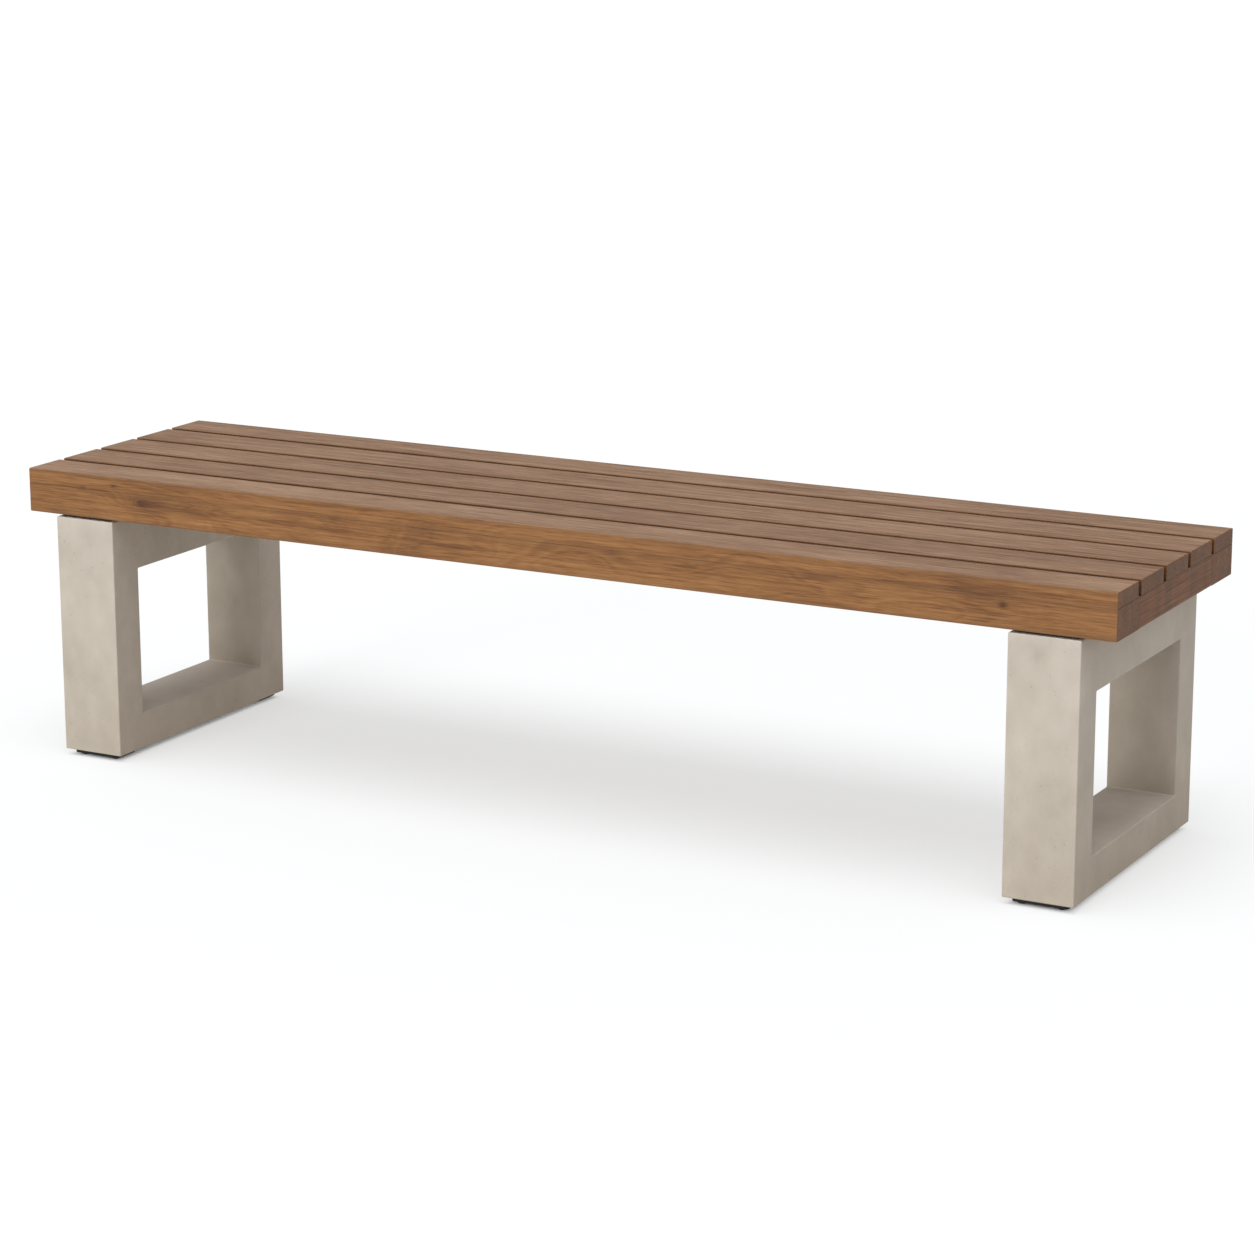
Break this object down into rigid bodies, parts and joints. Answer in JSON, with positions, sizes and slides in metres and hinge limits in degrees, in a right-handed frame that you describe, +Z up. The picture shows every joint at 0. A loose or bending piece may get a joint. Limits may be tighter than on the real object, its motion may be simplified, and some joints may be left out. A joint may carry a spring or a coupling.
{
  "type": "garden bench",
  "caption": "Backless garden bench: long teak slats on a teak frame, carried by closed rectangular concrete leg frames with screw-out levelling glides.",
  "frame": {"origin": "on the floor under the middle of the seat, at the soles of the glides when screwed fully in", "axes": "+X along the bench to the right, +Y from front to back, +Z up"},
  "size_m": [1.8, 0.458, 0.457],
  "materials": {
    "slat_teak": "weathered oiled teak, grey-brown, fine lengthwise grain",
    "frame_teak": "oiled teak, honey brown, darker end grain",
    "concrete": "smooth cast concrete, warm light grey, soft mottling",
    "black_steel": "black powder coat",
    "zinc_steel": "zinc-plated steel",
    "insert_brass": "plain turned brass",
    "black_plastic": "black moulded nylon, satin"
  },
  "bodies": {
    "bench": {"slat_1": "slat_teak", "slat_2": "slat_teak", "slat_3": "slat_teak", "slat_4": "slat_teak", "slat_5": "slat_teak", "front_beam": "frame_teak", "rear_beam": "frame_teak", "end_rail_left": "frame_teak", "end_rail_right": "frame_teak", "cross_bearer_left": "frame_teak", "cross_bearer_middle": "frame_teak", "cross_bearer_right": "frame_teak", "leg_frame_left": "concrete", "leg_frame_right": "concrete", "mounting_plate_left": "black_steel", "mounting_plate_right": "black_steel", "plate_screw_left_1": "zinc_steel", "plate_screw_left_2": "zinc_steel", "plate_screw_left_3": "zinc_steel", "plate_screw_left_4": "zinc_steel", "plate_screw_right_1": "zinc_steel", "plate_screw_right_2": "zinc_steel", "plate_screw_right_3": "zinc_steel", "plate_screw_right_4": "zinc_steel", "leg_bolt_left_front": "zinc_steel", "weld_nut_left_front": "black_steel", "foot_shoe_left_front": "black_plastic", "leg_bolt_left_rear": "zinc_steel", "weld_nut_left_rear": "black_steel", "foot_shoe_left_rear": "black_plastic", "leg_bolt_right_front": "zinc_steel", "weld_nut_right_front": "black_steel", "foot_shoe_right_front": "black_plastic", "leg_bolt_right_rear": "zinc_steel", "weld_nut_right_rear": "black_steel", "foot_shoe_right_rear": "black_plastic", "glide_insert_left_1": "insert_brass", "glide_insert_left_2": "insert_brass", "glide_insert_left_3": "insert_brass", "glide_insert_left_4": "insert_brass", "glide_insert_right_1": "insert_brass", "glide_insert_right_2": "insert_brass", "glide_insert_right_3": "insert_brass", "glide_insert_right_4": "insert_brass"},
    "pad_left_1": {"glide_pad_left_1": "black_plastic"},
    "stem_left_1": {"glide_stem_left_1": "zinc_steel"},
    "pad_left_2": {"glide_pad_left_2": "black_plastic"},
    "stem_left_2": {"glide_stem_left_2": "zinc_steel"},
    "pad_left_3": {"glide_pad_left_3": "black_plastic"},
    "stem_left_3": {"glide_stem_left_3": "zinc_steel"},
    "pad_left_4": {"glide_pad_left_4": "black_plastic"},
    "stem_left_4": {"glide_stem_left_4": "zinc_steel"},
    "pad_right_1": {"glide_pad_right_1": "black_plastic"},
    "stem_right_1": {"glide_stem_right_1": "zinc_steel"},
    "pad_right_2": {"glide_pad_right_2": "black_plastic"},
    "stem_right_2": {"glide_stem_right_2": "zinc_steel"},
    "pad_right_3": {"glide_pad_right_3": "black_plastic"},
    "stem_right_3": {"glide_stem_right_3": "zinc_steel"},
    "pad_right_4": {"glide_pad_right_4": "black_plastic"},
    "stem_right_4": {"glide_stem_right_4": "zinc_steel"}
  },
  "joints": [
    {"name": "travel_left_1", "type": "slide", "parent": "bench", "child": "pad_left_1", "axis": [0, 0, -1], "range_m": [0, 0.01]},
    {"name": "turn_left_1", "type": "hinge", "parent": "pad_left_1", "child": "stem_left_1", "pos_m": [-0.826, -0.209, 0.02], "axis": [0, 0, -1], "range_deg": [0, 2881]},
    {"name": "travel_left_2", "type": "slide", "parent": "bench", "child": "pad_left_2", "axis": [0, 0, -1], "range_m": [0, 0.01]},
    {"name": "turn_left_2", "type": "hinge", "parent": "pad_left_2", "child": "stem_left_2", "pos_m": [-0.768, -0.209, 0.02], "axis": [0, 0, -1], "range_deg": [0, 2881]},
    {"name": "travel_left_3", "type": "slide", "parent": "bench", "child": "pad_left_3", "axis": [0, 0, -1], "range_m": [0, 0.01]},
    {"name": "turn_left_3", "type": "hinge", "parent": "pad_left_3", "child": "stem_left_3", "pos_m": [-0.826, 0.209, 0.02], "axis": [0, 0, -1], "range_deg": [0, 2881]},
    {"name": "travel_left_4", "type": "slide", "parent": "bench", "child": "pad_left_4", "axis": [0, 0, -1], "range_m": [0, 0.01]},
    {"name": "turn_left_4", "type": "hinge", "parent": "pad_left_4", "child": "stem_left_4", "pos_m": [-0.768, 0.209, 0.02], "axis": [0, 0, -1], "range_deg": [0, 2881]},
    {"name": "travel_right_1", "type": "slide", "parent": "bench", "child": "pad_right_1", "axis": [0, 0, -1], "range_m": [0, 0.01]},
    {"name": "turn_right_1", "type": "hinge", "parent": "pad_right_1", "child": "stem_right_1", "pos_m": [0.768, -0.209, 0.02], "axis": [0, 0, -1], "range_deg": [0, 2881]},
    {"name": "travel_right_2", "type": "slide", "parent": "bench", "child": "pad_right_2", "axis": [0, 0, -1], "range_m": [0, 0.01]},
    {"name": "turn_right_2", "type": "hinge", "parent": "pad_right_2", "child": "stem_right_2", "pos_m": [0.826, -0.209, 0.02], "axis": [0, 0, -1], "range_deg": [0, 2881]},
    {"name": "travel_right_3", "type": "slide", "parent": "bench", "child": "pad_right_3", "axis": [0, 0, -1], "range_m": [0, 0.01]},
    {"name": "turn_right_3", "type": "hinge", "parent": "pad_right_3", "child": "stem_right_3", "pos_m": [0.768, 0.209, 0.02], "axis": [0, 0, -1], "range_deg": [0, 2881]},
    {"name": "travel_right_4", "type": "slide", "parent": "bench", "child": "pad_right_4", "axis": [0, 0, -1], "range_m": [0, 0.01]},
    {"name": "turn_right_4", "type": "hinge", "parent": "pad_right_4", "child": "stem_right_4", "pos_m": [0.826, 0.209, 0.02], "axis": [0, 0, -1], "range_deg": [0, 2881]}
  ],
  "couplings": [
    {"joint": "turn_left_1", "follows": "travel_left_1", "rad_per_m": 5026.5},
    {"joint": "turn_left_2", "follows": "travel_left_2", "rad_per_m": 5026.5},
    {"joint": "turn_left_3", "follows": "travel_left_3", "rad_per_m": 5026.5},
    {"joint": "turn_left_4", "follows": "travel_left_4", "rad_per_m": 5026.5},
    {"joint": "turn_right_1", "follows": "travel_right_1", "rad_per_m": 5026.5},
    {"joint": "turn_right_2", "follows": "travel_right_2", "rad_per_m": 5026.5},
    {"joint": "turn_right_3", "follows": "travel_right_3", "rad_per_m": 5026.5},
    {"joint": "turn_right_4", "follows": "travel_right_4", "rad_per_m": 5026.5}
  ]
}
